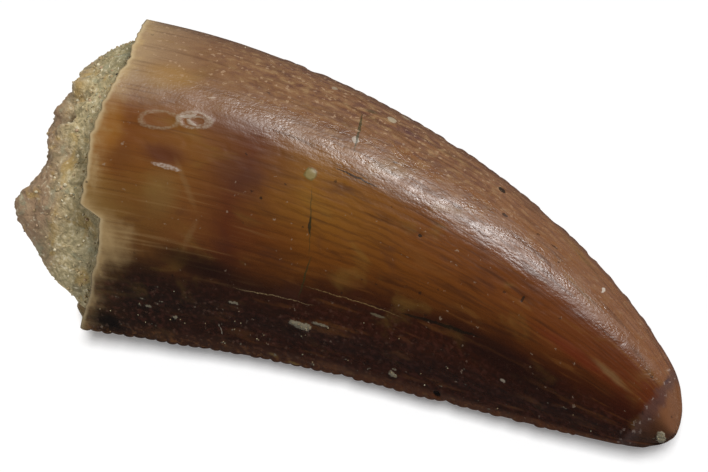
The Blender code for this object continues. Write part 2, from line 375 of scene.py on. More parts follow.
# the single marks also have their relief in mm and their kind
marks = (
    # an old scar, two pale loops with a bright streak below them
    (1.50, 0.22, 0.62, 0.30, 10, "#a8977c", 0.42, 0.012, "ring"),
    (2.58, 0.274, 0.52, 0.28, 8, "#b3a490", 0.55, 0.015, "ring"),
    (2.68, 0.270, 0.30, 0.16, 14, "#b3a490", 0.6, 0.015, "ring"),
    (2.35, 0.295, 0.30, 0.06, 22, "#b8aa98", 0.7, 0.015, "spot"),
    (2.50, 0.255, 0.22, 0.05, -30, "#b8aa98", 0.6, 0.010, "spot"),
    (2.04, -0.045, 0.55, 0.095, -2, "#b09c8c", 0.95, 0.020, "scratch"),
    (2.92, 0.453, 0.14, 0.04, 20, "#b8a088", 0.7, 0.008, "spot"),
    # round pale dots, as lichen or root feet leave
    (6.65, 0.177, 0.20, 0.20, 0, "#94895c", 0.75, 0.020, "spot"),
    (6.65, 0.177, 0.19, 0.19, 0, "#6e6238", 0.8, 0, "ring"),
    (8.29, 0.843, 0.17, 0.22, 0, "#a99a80", 0.9, 0.020, "spot"),
    (6.27, 0.882, 0.12, 0.16, 0, "#a08e76", 0.8, 0.010, "spot"),
    (7.59, 0.528, 0.13, 0.15, 0, "#b5a898", 0.8, 0.010, "spot"),
    (8.61, 0.965, 0.16, 0.14, 0, "#a09078", 0.7, 0.010, "spot"),
    # cracks: greenish across the tooth, pale and dark along it
    (7.55, 0.610, 0.95, 0.045, 99, "#38381e", 0.75, -0.012, "spot"),
    (7.18, -0.155, 0.33, 0.055, 107, "#241f10", 0.85, -0.012, "spot"),
    (7.15, -0.12, 1.25, 0.028, 107, "#38361a", 0.50, -0.006, "spot"),
    (7.58, -0.48, 0.85, 0.030, 91, "#3a361a", 0.75, -0.008, "spot"),
    (6.70, -0.632, 1.60, 0.020, 7, "#a08862", 0.85, -0.006, "scratch"),
    (9.50, -0.520, 1.90, 0.020, 6, "#9a7c50", 0.80, -0.006, "scratch"),
    (12.6, -0.463, 1.60, 0.060, 12, "#15120a", 0.75, -0.010, "spot"),
    (8.08, 0.275, 0.85, 0.040, -4, "#2a1a0e", 0.85, -0.010, "spot"),
    (10.45, -0.574, 0.30, 0.05, 8, "#7a7058", 0.7, 0, "spot"),
    # pits, chips and scratches
    (12.30, 0.85, 0.13, 0.17, 30, "#1f1813", 0.9, -0.040, "spot"),
    (10.69, 0.088, 0.07, 0.07, 0, "#241a10", 0.9, -0.020, "spot"),
    (5.35, -0.091, 0.06, 0.06, 0, "#241a10", 0.8, -0.020, "spot"),
    (14.61, 0.059, 0.06, 0.12, 0, "#241a10", 0.8, -0.020, "spot"),
    (12.79, 0.621, 0.10, 0.08, 0, "#2a1c14", 0.8, -0.020, "spot"),
    (14.63, 0.696, 0.15, 0.04, 0, "#2a1c14", 0.7, -0.015, "spot"),
    (13.57, -0.965, 0.16, 0.14, 0, "#181210", 0.9, -0.080, "spot"),
    (20.04, 0.624, 0.08, 0.22, 0, "#3c3c46", 0.8, -0.030, "spot"),
    (15.43, -0.689, 0.10, 0.08, 0, "#a89a88", 0.9, 0.010, "spot"),
    (16.64, 0.725, 0.06, 0.16, 0, "#c0b4a6", 0.9, 0.010, "spot"),
    (5.08, -0.885, 0.24, 0.022, 123, "#b5aa98", 0.9, 0.005, "scratch"),
)

# grey silt that still clings: station, place, half length, half width, turn, height
crusts = (
    (7.97, -0.771, 0.52, 0.15, 1, 0.07),
    (8.65, -0.735, 0.50, 0.04, 3, 0.04),
    (5.35, -0.725, 0.24, 0.07, 0, 0.03),
    (3.28, -0.868, 0.12, 0.10, 0, 0.04),
    (2.22, -0.832, 0.15, 0.07, 0, 0.02),
    (11.79, -0.911, 0.20, 0.10, 0, 0.05),
    (21.00, -0.640, 0.20, 0.20, 30, 0.06),
)


def placeOnCrown(table, station, place):
    # across in mm of a point of the upper face
    columns = np.where(table["upper"], table["place"], 9)
    column = np.argmin(np.abs(columns - place))
    row = np.argmin(np.abs(table["along"][:, column] - station))
    return float(table["across"][row, column])


def markDistance(table, mark):
    # 1 on the outline of a mark, 0 at its middle
    station, place, halfLength, halfWidth, turn = mark[:5]
    u = table["along"] - station
    v = table["across"] - placeOnCrown(table, station, place)
    c, s = math.cos(math.radians(turn)), math.sin(math.radians(turn))
    return np.hypot((u * c + v * s) / halfLength, (v * c - u * s) / halfWidth)


crownWear = {
    "swell": 0.030,  # slow unevenness of the grown surface
    "ripple": 0.007,
    "pits": 70,
    "pitSize": (0.05, 0.11),
    "pitDepth": 0.016,
    "edgeChips": 0.12,
    "flakeRise": 0.012,
    "chipReach": 0.25,
    "facet": (20.10, 20.30),  # the worn facet starts between these stations
    "facetStep": 0.030,
    "facetWander": 0.11,
}


def crownRelief(table, grid, reached):
    along, place, upper = table["along"], table["place"], table["upper"]
    relief = crownWear["swell"] * noiseAt(grid, 2.6, 2, 1)
    relief = relief + crownWear["ripple"] * noiseAt(grid * (0.4, 1, 1), 0.30, 2, 2)
    chance = np.random.default_rng(11)
    for _ in range(crownWear["pits"]):
        station, at = chance.uniform(0.8, 20.5), chance.uniform(-1, 1)
        size = chance.uniform(*crownWear["pitSize"])
        away = markDistance(table, (station, at, size, size * 1.2, 0))
        depth = crownWear["pitDepth"] * chance.uniform(0.4, 1.0)
        relief = relief - depth * np.exp(-(away**2)) * upper
    for mark in marks:
        if mark[7]:
            away = markDistance(table, mark)
            if mark[8] == "ring":
                relief = relief + mark[7] * np.exp(-(((away - 1) / 0.2) ** 2)) * upper
            else:
                relief = relief + mark[7] * (1 - smoothStep(away, 0.5, 1.1)) * upper
    wander = crownWear["facetWander"] * noiseAt(grid, 0.5, 3, 6)
    start, end = crownWear["facet"]
    facet = smoothStep(along + wander, start, end)
    relief = relief - crownWear["facetStep"] * facet * (upper & (np.abs(place) < 0.9))
    distal = reached[:, [crown["upperColumns"]]]
    edgeAway = np.minimum(reached, np.abs(reached - distal))
    edgeAway = np.minimum(edgeAway, np.abs(reached[:, [-1]] + 0.06 - reached))
    chips = np.maximum(0, noiseAt(grid, 0.8, 2, 5) - 0.2)
    away = edgeAway / crownWear["chipReach"]
    relief = relief - crownWear["edgeChips"] * chips * np.exp(-(away**2))
    # silt: a ragged heap on each crust, thin flakes along the dark flank
    ragged = noiseAt(grid, 0.16, 3, 8)
    silt = np.zeros_like(along)
    for crust in crusts:
        away = markDistance(table, crust) + 0.35 * ragged
        heap = (1 - smoothStep(away, 0.75, 1.05)) * upper
        silt = np.maximum(silt, heap)
        relief = relief + crust[5] * heap * (0.8 + 0.6 * ragged)
    flank = smoothStep(-place, 0.62, 0.74) * (1 - smoothStep(-place, 0.97, 1.0)) * upper
    flakes = smoothStep(noiseAt(grid * (0.7, 1, 1), 0.20, 2, 9), 0.58, 0.74) * flank
    silt = np.maximum(silt, 0.48 * flakes)
    relief = relief + crownWear["flakeRise"] * flakes
    return relief, edgeAway, silt


def stationList():
    # even steps down the crown, closing up where the tip rounds over
    even = np.arange(0, crown["length"] - 0.9, crown["stationStep"])
    turn = np.linspace(0, 1, 26)[1:-1]
    left = (crown["length"] - even[-1]) * (1 - np.sin(turn * math.pi / 2))
    return np.concatenate([even, crown["length"] - left])


def buildCrown():
    place, upper = ringPlaces(crown["upperColumns"], crown["lowerColumns"])
    shift = rimShift(place, upper)
    stations = stationList()
    fade = np.maximum(0, 1 - stations / crown["rimFade"])
    along = stations[:, None] + shift[None, :] * fade[:, None]
    grid = crownPoint(along, place[None, :], upper[None, :])

    # the facet that wear cut on the tip
    normal = np.array(crown["wearNormal"])
    normal = normal / np.linalg.norm(normal)
    soft = crown["wearSoftness"]
    beyond = grid @ normal
    beyond = beyond - (beyond.max() - crown["wearDepth"])
    beyond = soft * np.logaddexp(0, beyond / soft)
    grid = grid - normal * beyond[..., None] * crown["wearFlatness"]

    # distance across the surface from the middle line
    steps = np.linalg.norm(np.roll(grid, -1, axis=1) - grid, axis=-1)
    reached = np.cumsum(np.concatenate([0 * steps[:, :1], steps[:, :-1]], 1), 1)
    middle = np.argmin(np.abs(np.where(upper, place, 9)))
    across = reached[:, [middle]] - reached
    table = {"along": along, "across": across, "place": place, "upper": upper}

    relief, edgeAway, silt = crownRelief(table, grid, reached)
    around = np.roll(grid, -1, axis=1) - np.roll(grid, 1, axis=1)
    normals = np.cross(around, np.gradient(grid, axis=0))
    lengths = np.linalg.norm(normals, axis=-1, keepdims=True)
    normals = normals / np.maximum(1e-9, lengths)
    lying = smoothStep(grid[..., 2], 0.02, 0.25)
    grid = grid + normals * (relief * lying)[..., None]
    grid[..., 2] = np.maximum(0, grid[..., 2])

    # the broken rim, the wall inside it and the end of the cavity
    walls = crown["wallAtEdges"], crown["wallAtFaces"]
    lip = shellRing(place, upper, shift, crown["rimLip"], *walls, 0.0)
    heading = crown["baseHeading"]
    inner = []
    for share in (0.14, 0.30, 0.48, 0.66, 0.84):
        ring = grid[0] + (lip - grid[0]) * share
        rough = noiseAt(ring, 0.20, 3, 7) * crown["rimRoughness"]
        rough = rough * math.sin(share * math.pi)
        inner.append(ring + np.outer(rough, (math.cos(heading), math.sin(heading), 0)))
    inner.append(lip)
    for step in (0.25, 0.5, 0.75, 0.92):
        deep = crown["cavityDepth"] - crown["rimLip"]
        depth = crown["rimLip"] + deep * math.sin(step * math.pi / 2)
        inner.append(shellRing(place, upper, shift, depth, *walls, step))
    inner = np.array(inner)[::-1]

    columns = len(place)
    rings = np.concatenate([inner, grid])
    poles = [grid[-1].mean(axis=0), shellMiddle(crown["cavityDepth"])]
    points = np.concatenate([rings.reshape(-1, 3), poles])
    faces = ringFaces(len(rings), columns)

    def spread(values, inside, atTip):
        # one number for each point: inner rings, outside, tip, end of the cavity
        values = np.broadcast_to(values, along.shape)
        deep = np.full(len(inner) * columns, inside)
        return np.concatenate([deep, values.ravel(), [atTip], [inside]])

    under = np.where(upper, 0.0, 1.0)
    heading = arcPlace(along)[2]
    side = np.sign(np.where(np.abs(place) < 0.5, 0, place))
    parts = {
        "mapMm": ((along, -1.0, 21.3), (across, 0.0, 0.0), (under, 0.0, 0.0)),
        "mapPlace": ((place, 0.0, 0.0), (along - shift, -0.3, 21.3), (0.0, 1.0, 0.0)),
        "outward": (
            (-np.sin(heading) * side, 0.0, 0.0),
            (np.cos(heading) * side, 0.0, 0.0),
            (0.0, 0.0, 0.0),
        ),
    }
    attributes = {
        name: np.stack([spread(*part) for part in three], -1)
        for name, three in parts.items()
    }
    attributes["station"] = spread(stations[:, None], -1.0, 21.3)
    attributes["edgeAway"] = spread(edgeAway, 9.0, 9.0)
    attributes["silt"] = spread(silt, 0.0, 0.0)
    flank = smoothStep(-place, 0.60, 0.80) * upper
    mesial = smoothStep(place, 0.75, 0.95) * upper
    attributes["grit"] = spread(silt * 0.7 + flank * 0.008 + mesial * 0.003, 0.0, 0.0)
    return makeMesh("toothCrown", points, faces, attributes), table


crownPiece, crownTable = buildCrown()
print("crown", len(crownPiece.data.polygons), "faces")


# Denticles: Geometry Nodes push the two edges out into one low, rounded tooth a pitch

denticles = {
    "Pitch": 0.40,
    "Distal Height": 0.075 * mm,
    "Mesial Height": 0.035 * mm,
    "Reach": 0.26,  # how far each one runs up the face as a ridge
    "Distal End": 18.6,
    "Mesial Start": 4.4,
    "Mesial End": 18.6,
    "Lost Share": 0.10,
    "Seed": 4,
}


denticleSteps = (
    ("count", "DIVIDE", "station", "Pitch"),
    ("index", "FLOOR", "count"),
    ("phase", "FRACT", "count"),
    ("turn", "MULTIPLY", "phase", math.pi),
    ("arch", "SINE", "turn"),
    ("swell", "POWER", "arch", 0.6),
    # the ridge fades up the face
    ("share", "DIVIDE", "edgeAway", "Reach"),
    ("rest", "SUBTRACT", 1.0, "share"),
    ("left", "MAXIMUM", "rest", 0.0),
    ("fall", "POWER", "left", 1.4),
    # place is -1 at the distal edge and 1 at the mesial one
    ("mesial", "GREATER_THAN", "place", 0.0),
    ("distalRun", "LESS_THAN", "station", "Distal End"),
    ("before", "LESS_THAN", "station", "Mesial Start"),
    ("after", "LESS_THAN", "station", "Mesial End"),
    ("mesialRun", "SUBTRACT", "after", "before"),
    ("distalSize", "MULTIPLY", "distalRun", "Distal Height"),
    ("mesialSize", "MULTIPLY", "mesialRun", "Mesial Height"),
)


def denticleTree():
    tree, given = newTree("denticleEdges", denticles)
    known = {socket.name: socket for socket in given}
    for name in ("station", "edgeAway", "outward", "mapPlace"):
        kind = "FLOAT_VECTOR" if name in ("outward", "mapPlace") else "FLOAT"
        known[name] = addNode(tree, readValue, {"data_type": kind, "Name": name})
    known["place"] = addNode(tree, "ShaderNodeSeparateXYZ", {0: known["mapPlace"]})
    addSteps(tree, known, denticleSteps)

    # each denticle has its own wear, and a few are gone
    luck = {"data_type": "FLOAT", "ID": known["index"], "Seed": given["Seed"]}
    known["luck"] = addNode(tree, randomValue, luck)
    kept = ("kept", "GREATER_THAN", "luck", "Lost Share")
    addSteps(tree, known, (kept, ("wear", "fade", "luck", 0, 1, 0.45, 1)))
    mesial, *sizes = lookUp(known, ("mesial", "distalSize", "mesialSize"))
    size = {"data_type": "FLOAT", 0: mesial, 2: sizes[0], 3: sizes[1]}
    size = addNode(tree, mixer, size)
    for factor in ("swell", "kept", "wear", "fall"):
        size = addNode(tree, maths, {**times, 0: size, 1: known[factor]})
    move = {"operation": "SCALE", 0: known["outward"], "Scale": size}
    move = addNode(tree, vectorMaths, move)
    moved = {"Geometry": given["Geometry"], "Offset": move}
    moved = addNode(tree, "GeometryNodeSetPosition", moved)
    return closeTree(tree, moved, given["Material"])


# Materials. In their tables a name stands for a coordinate of the piece, a pattern, a
# colour along the crown or a row above.


def paint(tree, known, colour, layers):
    # lay each tint over the last: source, its value at no cover and at full cover,
    # strength and tint
    for source, bare, covered, strength, tint in (lookUp(known, row) for row in layers):
        mask = {"interpolation_type": "SMOOTHSTEP", "Value": source, "From Min": bare}
        mask |= {"From Max": covered, "To Max": strength}
        mask = addNode(tree, mapRange, mask)
        colour = {"data_type": "RGBA", 0: mask, 6: colour, 7: tint}
        colour = addNode(tree, mixer, colour)
    return colour


def patternOn(tree, vector, scale, detail, distortion, seed):
    # noise stretched by scale, in features to the unit of the vector
    placed = {**timesPlus, 0: vector, 1: scale, 2: (seed,) * 3}
    wanted = {"Vector": addNode(tree, vectorMaths, placed), "Scale": 1.0}
    wanted |= {"Detail": detail, "Distortion": distortion}
    return addNode(tree, "ShaderNodeTexNoise", wanted)


def wanderOff(tree, vector, settings, reach, start):
    # start, moved by a noise over the vector by up to half the reach each way
    drift = addNode(tree, "ShaderNodeTexNoise", {"Vector": vector, **settings})
    drift = {**minus, 0: drift.outputs["Color"], 1: (0.5, 0.5, 0.5)}
    drift = addNode(tree, vectorMaths, drift)
    return addNode(tree, vectorMaths, {**timesPlus, 0: drift, 1: reach, 2: start})


def speckOn(tree, vector, scale, size, share, seed):
    # how much of a point is in one of the scattered round specks: 0 to 1
    placed = {**timesPlus, 0: vector, 1: (scale,) * 3, 2: (seed,) * 3}
    placed = addNode(tree, vectorMaths, placed)
    cells = {"voronoi_dimensions": "2D", "Vector": placed, "Scale": 1.0}
    cells = addNode(tree, "ShaderNodeTexVoronoi", cells)
    lot = addNode(tree, "ShaderNodeSeparateColor", {0: cells.outputs["Color"]})
    grown = {"Value": lot, "From Min": 1 - share, "To Max": size * scale}
    grown = addNode(tree, mapRange, grown)
    inside = addNode(tree, maths, {**minus, 0: grown, 1: cells.outputs["Distance"]})
    return addNode(tree, mapRange, {"Value": inside, "From Max": size * scale * 0.35})


def rampOver(tree, source, stops):
    # colours along a distance: stops of (mm, tint)
    low, high = stops[0][0], stops[-1][0]
    share = {"Value": source, "From Min": low, "From Max": high}
    share = addNode(tree, mapRange, share)
    placed = [((at - low) / (high - low), tint) for at, tint in stops]
    return addNode(tree, "ShaderNodeValToRGB", {"stops": placed, 0: share})


def finishSurface(tree, known, relief, wanted):
    # relief: how many mm each pattern stands up; wanted: the other inputs of the shader
    height = 0.0
    for name, size in relief.items():
        height = {**timesPlus, 0: known[name], 1: size * mm, 2: height}
        height = addNode(tree, maths, height)
    bump = {"Strength": 1.0, "Distance": 1.0, "Height": height}
    bump = addNode(tree, "ShaderNodeBump", bump)
    addNode(tree, "Principled BSDF", {**wanted, "Normal": bump})


enamel = {
    # colours down the crown: on the crest, behind it, down the steep side, in front
    "crest": (
        *((-0.6, "#986428"), (0.6, "#784518"), (2.4, "#80501f"), (4.6, "#64351a")),
        *((6.8, "#8a5a1c"), (11.0, "#764214"), (20.0, "#602a0d")),
    ),
    "behind": (
        *((-0.6, "#8c6a38"), (1.4, "#785024"), (3.0, "#774820"), (4.6, "#5e2e14")),
        *((7.2, "#784412"), (20.0, "#421a05")),
    ),
    # the steep side: its own dark stain, darkened further as painted shade for the side
    # turned from the light
    "steep": ((-0.8, "#5c3c1c"), (1.6, "#2e1a10"), (9.0, "#3a1808"), (20.0, "#3e1704")),
    "front": ((-0.6, "#b09674"), (2.2, "#846042"), (11, "#845c3e"), (20.5, "#7e5236")),
    "lines": 18.5,  # growth lines in the width from the middle to an edge
    "facet": "#7c5032",
    "cream": "#b89a6c",
    "rim": "#cdb68c",
    "silt": "#8c826c",
    "roughness": (0.16, 0.38),
    "crestRoughness": 0.27,
    "siltRoughness": 0.4,
    "ior": 1.45,
    "wander": ({"Scale": 3.2, "Detail": 4.0, "Roughness": 0.6}, (0.17, 0.17, 0.0)),
    "tearing": ({"Scale": 13.0, "Detail": 2.0}, (0.22, 0.18, 0.0)),
    # relief in mm for each pattern
    "relief": {"wave": -0.0008, "fine": 0.004, "crumpled": 0.023, "gritted": 0.019},
    # edge of a mark: how far out of its ellipse the tint starts and is at its full
    "outlines": {"soft": (1.0, 0.2), "ring": (0.26, 0.04)},
    "sharpOutline": (1.05, 0.75),
}

# noises: what they lie on, features to its unit, detail, distortion and seed
enamelPatterns = {
    "waver": ("flat", (0.55, 0.7, 9.0), 3.0, 0.0, 3.0),
    "sway": ("lineMap", (0.8, 4.5, 1.0), 3.0, 0.0, 5.0),
    "patchy": ("lineMap", (0.7, 9.0, 1.0), 2.0, 0.3, 7.0),
    "fine": ("lineMap", (0.25, 46.0, 1.0), 2.0, 0.0, 9.0),
    "streaks": ("lineMap", (0.5, 15.0, 1.0), 4.0, 0.4, 10.0),
    "cloud": ("flat", (0.5, 0.8, 9.0), 4.0, 0.5, 11.0),
    "mottle": ("flat", (3.0, 4.2, 9.0), 4.0, 0.4, 13.0),
    "fineMottle": ("flat", (4.5, 6.0, 9.0), 4.0, 0.4, 15.0),
    "rimNoise": ("flat", (2.2, 1.6, 9.0), 3.0, 0.0, 21.0),
    "tipNoise": ("flat", (1.6, 2.4, 9.0), 4.0, 0.0, 23.0),
    "skin": ("flat", (5.0, 8.0, 9.0), 4.0, 0.4, 31.0),
    "grit": ("flat", (11.0, 14.0, 9.0), 2.0, 0.0, 41.0),
    "patches": ("flat", (0.9, 2.4, 9.0), 4.0, 0.3, 51.0),
}

# scattered specks: cells to the mm, radius in mm, share of the cells and seed
enamelSpecks = {
    "pale": (2.0, 0.07, 0.05, 2.0),
    "dark": (2.0, 0.06, 0.08, 8.0),
    "tiny": (5.0, 0.035, 0.08, 14.0),
    "flecks": (6.0, 0.07, 0.34, 17.0),
}

# what the tints and the roughness follow, as addSteps takes it
enamelSteps = (
    # a slow waver shifts every border between colours
    ("waverPlace", "MULTIPLY_ADD", "waver", 0.26, "place"),
    ("shiftedPlace", "SUBTRACT", "waverPlace", 0.13),
    ("waverAlong", "MULTIPLY_ADD", "waver", 1.5, "along"),
    ("shiftedAlong", "SUBTRACT", "waverAlong", 0.75),
    # the dark side reaches further up towards the tip
    ("climb", "fade", "along", 5, 13, 0, -0.20),
    ("border", "ADD", "climb", "shiftedPlace"),
    # growth lines: regular dark waves on the amber, hair-fine pale ones near the base
    ("phase", "MULTIPLY", "place", enamel["lines"]),
    ("swayed", "MULTIPLY_ADD", "sway", 2.0, "phase"),
    ("angle", "MULTIPLY", "swayed", 2 * math.pi),
    ("wave", "SINE", "angle"),
    ("beyondBase", "fade", "along", 1, 9, 0, 0.45),
    ("beyondPlum", "fade", "along", 5, 7.5, 0, 0.47),
    ("beforeTip", "fade", "along", 11, 18, 1, 0.12),
    ("patchyWave", "MULTIPLY", "patchy", "beyondPlum"),
    ("waveStrength", "MULTIPLY", "patchyWave", "beforeTip"),
    ("onPlum", "fade", "along", 6.5, 4.5, 0, 0.30),
    ("plumBehind", "fade", "place", 0.2, -0.3, 0, "onPlum"),
    ("fineStrength", "fade", "border", -0.52, -0.74, "plumBehind", 0),
    # stains
    ("variegated", "fade", "along", 9, 15, 0.52, 0.15),
    ("onFront", "fade", "along", 1, 4, 0, "variegated"),
    ("atFront", "fade", "place", 0.40, 0.75, 0, "onFront"),
    ("atEdge", "fade", "along", 1, 14, 0.1, 0.42),
    ("atKeel", "fade", "place", -0.93, -0.98, 0, 1),
    ("ochre", "SUBTRACT", "fineMottle", 0.50),
    ("edgeOchre", "MULTIPLY", "ochre", "atKeel"),
    ("atSteep", "fade", "border", -0.60, -0.78, 0, 0.4),
    # loops and scratches are broken up
    ("broken", "fade", "grit", 0.36, 0.60, 0.30, 1),
    # the cream of the rim reaches further down the crown behind the notch
    ("rimEdge", "MULTIPLY_ADD", "rimNoise", -1.1, "rim"),
    ("besideNotch", "ADD", "shiftedPlace", 0.52),
    ("fromNotch", "ABSOLUTE", "besideNotch"),
    ("reachMore", "smoothFade", "fromNotch", 0, 0.26, 0.90, 0),
    ("rimReach", "SUBTRACT", "rimEdge", "reachMore"),
    ("rimFine", "MULTIPLY_ADD", "fine", -0.9, "rimReach"),
    ("rimWide", "ADD", "rimFine", 0.45),
    # worn tip
    ("tipEdge", "MULTIPLY_ADD", "tipNoise", 0.7, "along"),
    ("behindTip", "fade", "place", 0.3, -0.7, 0, -0.12),
    ("facetEdge", "ADD", "tipEdge", "behindTip"),
    ("onFacet", "fade", "facetEdge", 20.4, 20.8, 0, 0.75),
    # flecks on the front (pale specks that also stand in as painted glints), down the
    # steep side and in a band before the tip
    ("fleckAlong", "fade", "along", 9, 15, 0.55, 0.12),
    ("fleckFront", "fade", "place", 0.35, 0.60, 0, "fleckAlong"),
    ("fleckLess", "MULTIPLY", "fleckAlong", 0.55),
    ("fleckSteep", "fade", "border", -0.62, -0.80, 0, "fleckLess"),
    ("besideBand", "SUBTRACT", "facetEdge", 20.35),
    ("fromBand", "ABSOLUTE", "besideBand"),
    ("fleckTip", "fade", "fromBand", 0.45, 0.15, 0, 0.50),
    # clinging silt
    ("siltGrit", "MULTIPLY_ADD", "grit", 1.5, "silt"),
    ("raggedSilt", "SUBTRACT", "siltGrit", 0.82),
    # the skin is wrinkled, rougher on the front, and its gloss comes and goes
    ("roughFront", "fade", "place", 0.22, 0.50, 0.15, 1),
    ("pastBase", "fade", "along", 2, 8, 0.35, 1),
    ("frontRough", "MULTIPLY", "roughFront", "pastBase"),
    ("crumpled", "MULTIPLY", "skin", "frontRough"),
    ("gritted", "MULTIPLY", "grit", "frontRough"),
    ("skinRough", "fade", "skin", 0.3, 0.7, *enamel["roughness"]),
    ("matt", "fade", "patches", 0.40, 0.62, -0.02, 0.24),
)

# tints under the single marks and over them, as paint takes them
enamelTints = (
    ("shiftedPlace", 0.22, 0.54, 1.0, "front"),
    ("shiftedPlace", 0.0, -0.36, 1.0, "behind"),
    # painted shade in part: the steep side turns from the light, and its colours are
    # darker for it
    ("border", -0.38, -0.70, 1.0, "steep"),
    # growth lines
    ("wave", 0.1, 0.9, "waveStrength", "#3e1e0c"),
    ("fine", 0.56, 0.70, "fineStrength", "#a07c50"),
    ("fine", 0.46, 0.34, 0.25, "#3a2012"),
    ("streaks", 0.52, 0.70, "beyondBase", "#32170a"),
    ("streaks", 0.46, 0.32, "beyondBase", "#7c4c20"),
    # stains in clouds: plum, olive and rust, and a mottle on the front
    ("cloud", 0.56, 0.74, 0.4, "#4a2a20"),
    ("cloud", 0.42, 0.30, "atFront", "#5c3c38"),
    ("cloud", 0.44, 0.28, 0.3, "#8a6a30"),
    ("mottle", 0.48, 0.66, "atFront", "#583632"),
    ("mottle", 0.48, 0.32, "atFront", "#a4845c"),
    ("fineMottle", 0.50, 0.66, "atSteep", "#5e3226"),
    ("fineMottle", 0.48, 0.34, "atSteep", "#1a120e"),
    ("place", 0.90, 0.99, 0.5, "#54382c"),
    ("place", -0.92, -0.98, "atEdge", "#865030"),
    ("edgeOchre", 0.01, 0.14, 0.6, "#7c5228"),
)
enamelTopTints = (
    ("facetEdge", 20.15, 20.40, 0.8, "#5c4038"),
    ("facetEdge", 20.50, 20.95, 0.9, enamel["facet"]),
    ("place", 0.1, -0.5, "onFacet", "#3a1e10"),
    ("rimWide", 0.35, -1.60, 0.95, enamel["cream"]),
    ("rimEdge", -0.20, -0.60, 0.7, enamel["cream"]),
    ("rim", 0.20, 0.0, 0.85, enamel["rim"]),
    ("inside", 0.2, 0.9, 1.0, enamel["cream"]),
    # pale flecks on the front: in part real specks, in part painted glints of the
    # granular skin
    ("flecks", 0.0, 1.0, "fleckFront", "#b89878"),
    ("flecks", 0.0, 1.0, "fleckSteep", "#80604e"),
    ("flecks", 0.0, 1.0, "fleckTip", "#a8958a"),
    ("pale", 0.0, 1.0, 0.5, "#a8927c"),
    ("tiny", 0.0, 1.0, 0.4, "#b09a84"),
    ("dark", 0.0, 1.0, 0.6, "#20150f"),
    ("raggedSilt", 0.25, 0.6, 1.0, enamel["silt"]),
)


def enamelMaterial():
    # Fossil enamel over dentine, stained by iron: a satin skin with fine growth lines,
    # amber where it is thin, near black on the steep side (its own dark stain, made
    # darker still as painted shade), with a granular gloss.
    material, tree = newMaterial("fossilEnamel")
    read = {
        name: addNode(tree, "ShaderNodeAttribute", {"attribute_name": name}).outputs
        for name in ("mapMm", "mapPlace", "silt")
    }
    flat, silt = read["mapMm"]["Vector"], read["silt"]["Fac"]
    along = addNode(tree, "ShaderNodeSeparateXYZ", {0: flat}).outputs[0]
    split = addNode(tree, "ShaderNodeSeparateXYZ", {0: read["mapPlace"]["Vector"]})
    place, rim, inside = split.outputs
    lineMap = addNode(tree, "ShaderNodeCombineXYZ", {0: along, 1: place})
    known = {"flat": flat, "lineMap": lineMap, "along": along, "place": place}
    known |= {"rim": rim, "inside": inside, "silt": silt}
    for name, (vector, *settings) in enamelPatterns.items():
        known[name] = patternOn(tree, known[vector], *settings)
    addSteps(tree, known, enamelSteps)
    for name in ("crest", "behind", "steep", "front"):
        known[name] = rampOver(tree, known["shiftedAlong"], enamel[name])
    wandered = wanderOff(tree, flat, *enamel["wander"], flat)
    torn = wanderOff(tree, flat, *enamel["tearing"], wandered)
    for name, settings in enamelSpecks.items():
        known[name] = speckOn(tree, torn, *settings)
    colour = paint(tree, known, known["crest"], enamelTints)

    # clouds and marks, each on its own ellipse whose outline wanders a little
    both = (*((*cloud, 0, "soft") for cloud in clouds), *marks)
    for station, at, halfLength, halfWidth, turn, tint, strength, _, kind in both:
        wanted = {"vector_type": "TEXTURE", "Vector": wandered}
        wanted["Location"] = (station, placeOnCrown(crownTable, station, at), 0.0)
        wanted["Rotation"] = (0, 0, math.radians(turn))
        wanted["Scale"] = (halfLength, halfWidth, 0.5)
        local = addNode(tree, "ShaderNodeMapping", wanted)
        away = addNode(tree, vectorMaths, {"operation": "LENGTH", 0: local})
        away = away.outputs["Value"]
        if kind in ("ring", "scratch"):
            strength = addNode(tree, maths, {**times, 0: known["broken"], 1: strength})
        if kind == "ring":
            away = addNode(tree, maths, {**minus, 0: away, 1: 1.0})
            away = addNode(tree, maths, {"operation": "ABSOLUTE", 0: away})
        outline = enamel["outlines"].get(kind, enamel["sharpOutline"])
        colour = paint(tree, known, colour, ((away, *outline, strength, tint),))
    colour = paint(tree, known, colour, enamelTopTints)

    rough = {0: known["frontRough"], 2: enamel["crestRoughness"], 3: known["skinRough"]}
    rough = addNode(tree, mixer, {"data_type": "FLOAT", **rough})
    shares = {"matt": known["frontRough"], "silt": enamel["siltRoughness"]}
    for name, share in shares.items():
        rough = addNode(tree, maths, {**timesPlus, 0: known[name], 1: share, 2: rough})
    wanted = {"Base Color": colour, "Roughness": rough, "IOR": enamel["ior"]}
    finishSurface(tree, known, enamel["relief"], wanted)
    return material


fossilEnamel = enamelMaterial()
applyTree(crownPiece, denticleTree(), {**denticles, "Material": fossilEnamel})
print("denticles cut")


# The sandstone in the broken base: a lumpy mass that stands out of the cavity

plug = {
    "gap": 0.03,
    "depth": 2.7,
    "rise": 2.25,
    "spread": 5.5,
    "power": 2.2,
    "fullness": 9,
    "columns": 300,
    "rings": 110,
    "roughness": 0.15,
    "grain": 1.3,
    "bumps": 0.19,
    "shelf": (0.22, 0.86),  # from where to where it falls, as shares of the bulge
    "shelfWander": 0.20,
    "shelfDrop": 0.86,
    "undersideDrop": 0.45,
}

# place across, place up, height and radius of each lump, in mm
plugLumps = (
    (-1.95, -0.20, 1.12, 1.25),
    (1.20, -0.40, 0.35, 0.85),
    (3.35, 0.10, 0.24, 0.60),
    (2.62, 0.00, -0.34, 0.45),
    (-4.10, -0.10, 0.45, 0.80),
    (-0.60, 1.20, -0.30, 0.80),
)


